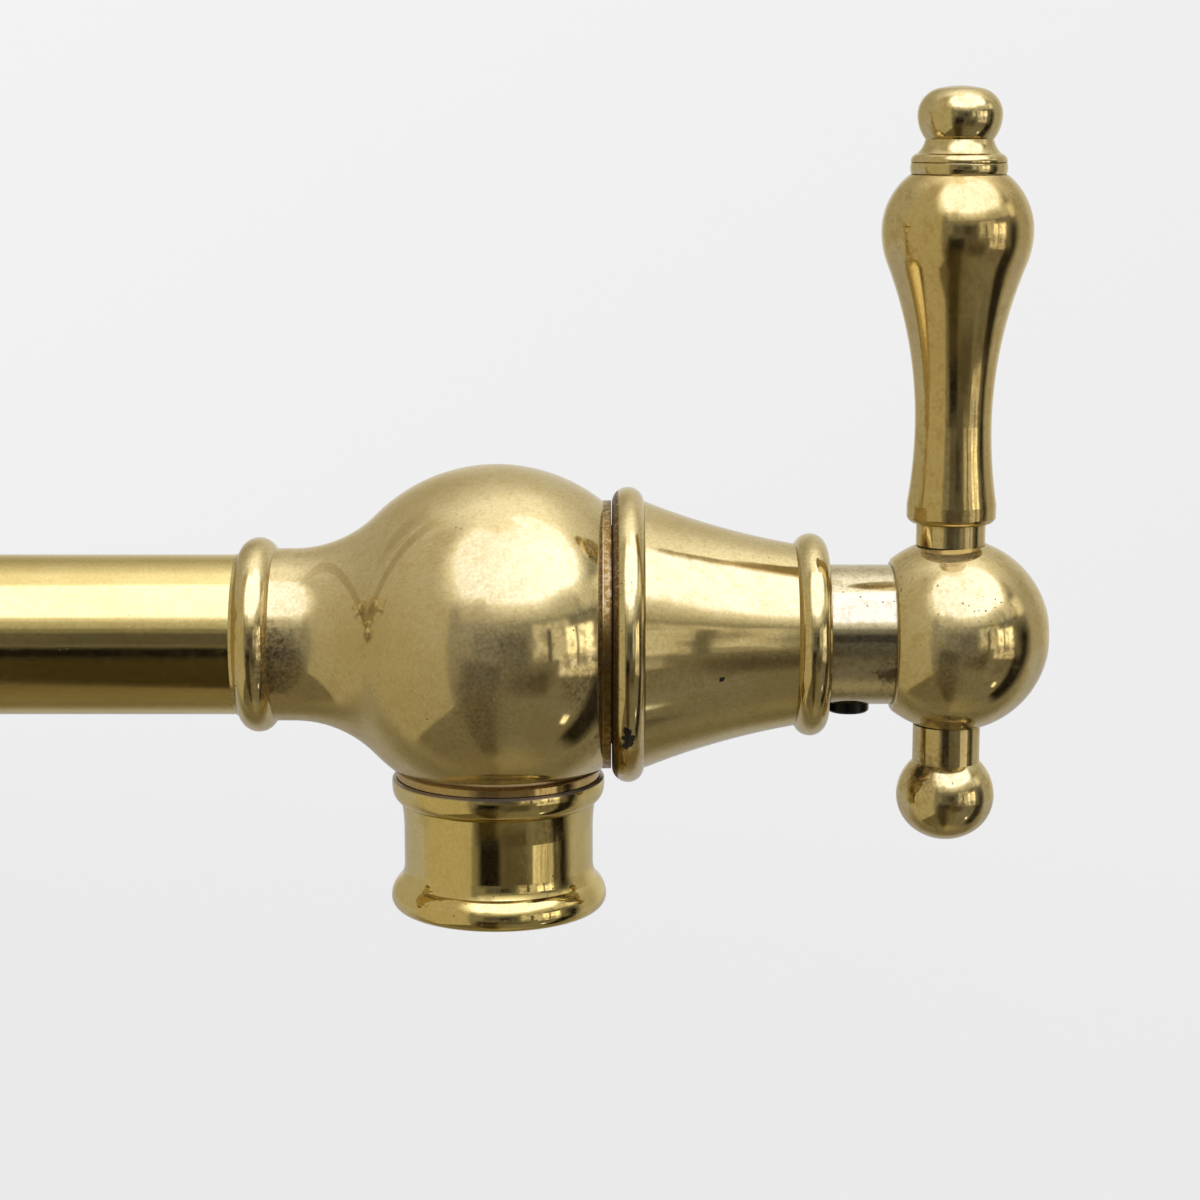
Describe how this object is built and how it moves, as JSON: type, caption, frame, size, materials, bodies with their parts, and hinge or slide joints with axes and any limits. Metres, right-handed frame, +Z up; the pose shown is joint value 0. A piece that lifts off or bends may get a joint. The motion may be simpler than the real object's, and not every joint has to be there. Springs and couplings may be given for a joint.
{
  "type": "wall mounted pot filler",
  "caption": "Wall mounted pot filler tap in aged brass: jointed swinging arms, ball bodied valves with upright levers at the wall and the spout, and a downward outlet.",
  "frame": {"origin": "centre of the wall flange's back face, on the inlet's axis, in the plane of the wall", "axes": "+X along the arms at rest, beside the wall; +Y into the wall; +Z up"},
  "size_m": [0.6074, 0.1682, 0.2277],
  "materials": {
    "aged_brass": "polished without lacquer, lightly aged",
    "tube_brass": "polished without lacquer, fine lengthwise streaks",
    "pale_brass": "polished, paler, with small pits and stains",
    "raw_brass": "machined",
    "black_screw": "blackened steel",
    "rubber": "matt",
    "ceramic": null,
    "spring_steel": "plain",
    "bearing_plastic": "smooth white",
    "aerator_plastic": "moulded grey"
  },
  "bodies": {
    "wall_unit": {"wall_flange": "aged_brass", "flange_grub_screw": "black_screw", "wall_nipple": "raw_brass", "wall_shank": "tube_brass", "wall_body": "aged_brass", "wall_bonnet": "aged_brass", "wall_cartridge_body": "raw_brass", "wall_bottom_seal": "rubber", "wall_fixed_disc": "ceramic", "wall_swivel_collar": "aged_brass"},
    "wall_lever": {"wall_spindle": "raw_brass", "wall_moving_disc": "ceramic", "wall_spindle_o_rings": "rubber", "wall_handle_sleeve": "pale_brass", "wall_handle_grub_screw": "black_screw", "wall_hub_ball": "aged_brass", "wall_lever_stem": "aged_brass", "wall_lever_grip": "aged_brass", "wall_lever_cap": "aged_brass", "wall_counter_finial": "aged_brass"},
    "inner_arm": {"inner_swivel_spigot": "raw_brass", "inner_swivel_o_rings": "rubber", "inner_swivel_circlip": "spring_steel", "inner_swivel_washer": "bearing_plastic", "inner_root_knuckle": "aged_brass", "inner_root_cap": "aged_brass", "inner_arm_tube": "tube_brass", "inner_end_knuckle": "aged_brass", "inner_end_cap": "aged_brass", "elbow_swivel_collar": "aged_brass"},
    "outer_arm": {"outer_swivel_spigot": "raw_brass", "outer_swivel_o_rings": "rubber", "outer_swivel_circlip": "spring_steel", "outer_swivel_washer": "bearing_plastic", "outer_root_knuckle": "aged_brass", "outer_root_cap": "aged_brass", "outer_arm_tube": "tube_brass", "spout_body": "aged_brass", "spout_bonnet": "aged_brass", "spout_cartridge_body": "raw_brass", "spout_bottom_seal": "rubber", "spout_fixed_disc": "ceramic", "outlet_collar": "aged_brass", "outlet_washer": "rubber", "aerator_shell": "raw_brass", "aerator_grille": "aerator_plastic", "aerator_mixer": "aerator_plastic"},
    "spout_lever": {"spout_spindle": "raw_brass", "spout_moving_disc": "ceramic", "spout_spindle_o_rings": "rubber", "spout_handle_sleeve": "pale_brass", "spout_handle_grub_screw": "black_screw", "spout_hub_ball": "aged_brass", "spout_lever_stem": "aged_brass", "spout_lever_grip": "aged_brass", "spout_lever_cap": "aged_brass", "spout_counter_finial": "aged_brass"}
  },
  "joints": [
    {"name": "wall_lever_turn", "type": "hinge", "parent": "wall_unit", "child": "wall_lever", "pos_m": [0, -0.078, 0], "axis": [0, -1, 0], "range_deg": [0, 90]},
    {"name": "wall_swivel", "type": "hinge", "parent": "wall_unit", "child": "inner_arm", "pos_m": [0, -0.078, -0.0594], "axis": [0, 0, 1], "range_deg": [-180, 0]},
    {"name": "elbow_swivel", "type": "hinge", "parent": "inner_arm", "child": "outer_arm", "pos_m": [0.25, -0.078, -0.1152], "axis": [0, 0, 1], "range_deg": [-180, 180]},
    {"name": "spout_lever_turn", "type": "hinge", "parent": "outer_arm", "child": "spout_lever", "pos_m": [0.5, -0.078, -0.1152], "axis": [1, 0, 0], "range_deg": [0, 90]}
  ]
}
